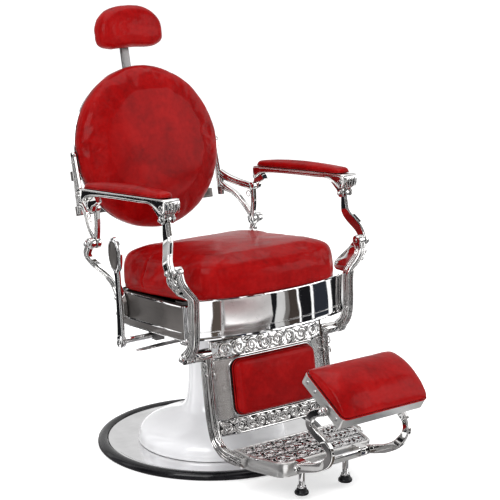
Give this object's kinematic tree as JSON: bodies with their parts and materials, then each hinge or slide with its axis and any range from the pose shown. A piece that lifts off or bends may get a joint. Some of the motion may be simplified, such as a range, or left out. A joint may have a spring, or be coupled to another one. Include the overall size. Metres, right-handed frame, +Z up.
{
  "type": "hydraulic barber chair",
  "caption": "Reclining hydraulic barber chair: round back, sliding headrest, linked armrests, swinging leg rest with flip pad, swivel column on a round base.",
  "frame": {"origin": "on the swivel axis at floor level, in the flat underside of the base plate", "axes": "+Z up, the chair faces -Y, +X is the sitter's left"},
  "size_m": [0.732, 1.3086, 1.3196],
  "materials": {
    "chrome": "mirror-polished chrome plate",
    "steel": "machined steel",
    "red_leather": "mottled red upholstery leather, semi-gloss",
    "black_rubber": "glossy black rubber",
    "white_enamel": "gloss white enamel",
    "satin_dark": "satin dark nickel",
    "satin_grey": "satin",
    "shell_silver": "silver moulded shell",
    "plywood": "plywood"
  },
  "bodies": {
    "base": {"base_plate": "steel", "base_rim": "black_rubber", "base_disc": "chrome", "column_cover": "white_enamel", "pump_cylinder": "steel", "column_collar": "black_rubber"},
    "lift": {"lift_ram": "steel"},
    "turning_frame": {"swivel_plate": "steel", "seat_frame": "steel", "seat_crossbar_front": "steel", "seat_crossbar_rear": "steel", "side_panel_left": "satin_dark", "side_panel_right": "satin_dark", "front_apron": "chrome", "rear_panel": "chrome", "seat_board": "plywood", "seat_cushion": "red_leather", "side_casting_left": "chrome", "side_casting_right": "chrome", "rear_casting_left": "chrome", "rear_casting_right": "chrome", "recline_pin_left": "steel", "recline_pin_right": "steel", "knee_pin_left": "steel", "knee_pin_right": "steel", "pump_bracket": "steel"},
    "backrest": {"back_cushion": "red_leather", "back_shell": "shell_silver", "back_strap_upper": "steel", "back_strap_lower": "steel", "back_bracket_left": "chrome", "back_bracket_right": "chrome", "headrest_socket": "chrome", "headrest_knob": "black_rubber"},
    "headrest": {"headrest_post": "chrome", "headrest_pad": "red_leather"},
    "armrest_left": {"armrest_left": "chrome", "arm_pad_left": "red_leather"},
    "armrest_right": {"armrest_right": "chrome", "arm_pad_right": "red_leather"},
    "front_link_left": {"front_link_left": "chrome"},
    "front_link_right": {"front_link_right": "chrome"},
    "leg_rest": {"leg_rail_left": "chrome", "leg_rail_right": "chrome", "leg_panel_top": "chrome", "leg_panel_middle": "chrome", "leg_panel_bottom": "chrome", "calf_pad": "red_leather", "foot_plate": "chrome", "foot_rod_left": "steel", "foot_rod_right": "steel", "rubber_foot_left": "black_rubber", "rubber_foot_right": "black_rubber"},
    "rest_arms": {"rest_arm_shaft": "steel", "rest_arm_left": "chrome", "rest_arm_right": "chrome"},
    "foot_pad": {"foot_pad_tray": "satin_grey", "foot_pad_cushion": "red_leather"},
    "pump_lever": {"pump_lever": "chrome"},
    "recline_lever": {"recline_lever": "chrome"}
  },
  "joints": [
    {"name": "seat_lift", "type": "slide", "parent": "base", "child": "lift", "axis": [0, 0, 1], "range_m": [0, 0.16]},
    {"name": "seat_swivel", "type": "hinge", "parent": "lift", "child": "turning_frame", "pos_m": [0, 0, 0.38], "axis": [0, 0, 1], "continuous": true},
    {"name": "back_recline", "type": "hinge", "parent": "turning_frame", "child": "backrest", "pos_m": [0, 0.183, 0.642], "axis": [-1, 0, 0], "range_deg": [0, 40]},
    {"name": "armrest_left_tilt", "type": "hinge", "parent": "backrest", "child": "armrest_left", "pos_m": [0.313, 0.18, 0.75], "axis": [-1, 0, 0], "range_deg": [-44.6, 0.2]},
    {"name": "armrest_right_tilt", "type": "hinge", "parent": "backrest", "child": "armrest_right", "pos_m": [-0.313, 0.18, 0.75], "axis": [-1, 0, 0], "range_deg": [-44.6, 0.2]},
    {"name": "front_link_left_swing", "type": "hinge", "parent": "turning_frame", "child": "front_link_left", "pos_m": [0.345, -0.302, 0.651], "axis": [-1, 0, 0], "range_deg": [-0.2, 33.3]},
    {"name": "front_link_right_swing", "type": "hinge", "parent": "turning_frame", "child": "front_link_right", "pos_m": [-0.345, -0.302, 0.651], "axis": [-1, 0, 0], "range_deg": [-0.2, 33.3]},
    {"name": "leg_raise", "type": "hinge", "parent": "turning_frame", "child": "leg_rest", "pos_m": [0, -0.275, 0.385], "axis": [-1, 0, 0], "range_deg": [-0.2, 40.2]},
    {"name": "rest_arm_flip", "type": "hinge", "parent": "leg_rest", "child": "rest_arms", "pos_m": [0, -0.592, 0.116], "axis": [-1, 0, 0], "range_deg": [-12, 12]},
    {"name": "foot_pad_tilt", "type": "hinge", "parent": "rest_arms", "child": "foot_pad", "pos_m": [0, -0.7386, 0.3296], "axis": [-1, 0, 0], "range_deg": [-25, 25]},
    {"name": "headrest_slide", "type": "slide", "parent": "backrest", "child": "headrest", "axis": [0, 0.225, 0.9744], "range_m": [0, 0.06]},
    {"name": "pump_lever_swing", "type": "hinge", "parent": "turning_frame", "child": "pump_lever", "pos_m": [-0.23, -0.025, 0.388], "axis": [1, 0, 0], "range_deg": [-10, 22], "stiffness_Nm_per_rad": 40},
    {"name": "recline_lever_lift", "type": "hinge", "parent": "turning_frame", "child": "recline_lever", "pos_m": [-0.124, -0.1, 0.381], "axis": [0, 1, 0], "range_deg": [0, 6], "stiffness_Nm_per_rad": 25, "springref_deg": -2.86}
  ],
  "couplings": [
    {"joint": "armrest_left_tilt", "follows": "back_recline", "ratio": -1.11},
    {"joint": "armrest_right_tilt", "follows": "back_recline", "ratio": -1.11},
    {"joint": "front_link_left_swing", "follows": "back_recline", "ratio": 0.8274},
    {"joint": "front_link_right_swing", "follows": "back_recline", "ratio": 0.8274},
    {"joint": "leg_raise", "follows": "back_recline", "ratio": 1}
  ]
}
